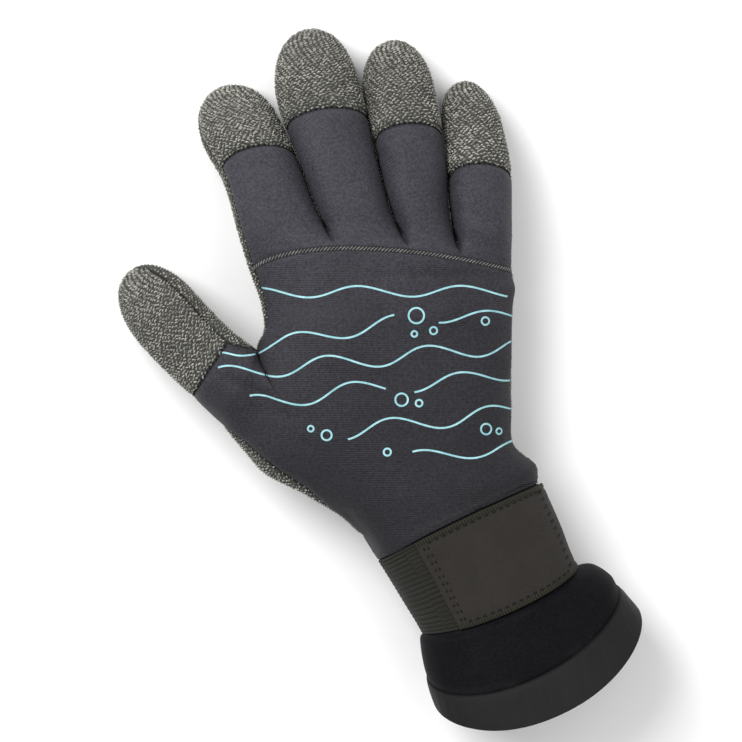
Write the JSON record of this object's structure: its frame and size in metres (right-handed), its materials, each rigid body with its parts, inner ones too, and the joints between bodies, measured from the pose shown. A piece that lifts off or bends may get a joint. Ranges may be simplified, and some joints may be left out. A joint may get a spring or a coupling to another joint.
{
  "type": "diving glove",
  "caption": "Five-finger neoprene diving glove for the right hand, lying palm down, with textured palm and fingertips, a gauntlet cuff and an elastic wrist strap.",
  "frame": {"origin": "middle of the bounding box's bottom, on the surface that the glove lies on", "axes": "+Y from the cuff to the fingertips, +Z from the palm to the back of the hand, the thumb at -X"},
  "size_m": [0.1772, 0.3064, 0.057],
  "materials": {
    "neoprene": "soft matt knit face on foam rubber",
    "textured_knit": "pebbled grip knit, grey-olive",
    "hem_cloth": "smooth black binding",
    "elastic_strap": "ribbed woven elastic",
    "patch_webbing": "close woven webbing, stitched round its edge"
  },
  "bodies": {
    "root": {"hand_body": "neoprene", "gauntlet": "neoprene", "palm_panel": "textured_knit", "finger_back": "neoprene", "thumb_back": "textured_knit", "tip_index": "textured_knit", "tip_middle": "textured_knit", "tip_ring": "textured_knit", "tip_little": "textured_knit", "hem_band": "hem_cloth", "wrist_strap": "elastic_strap", "strap_patch": "patch_webbing"}
  },
  "joints": []
}
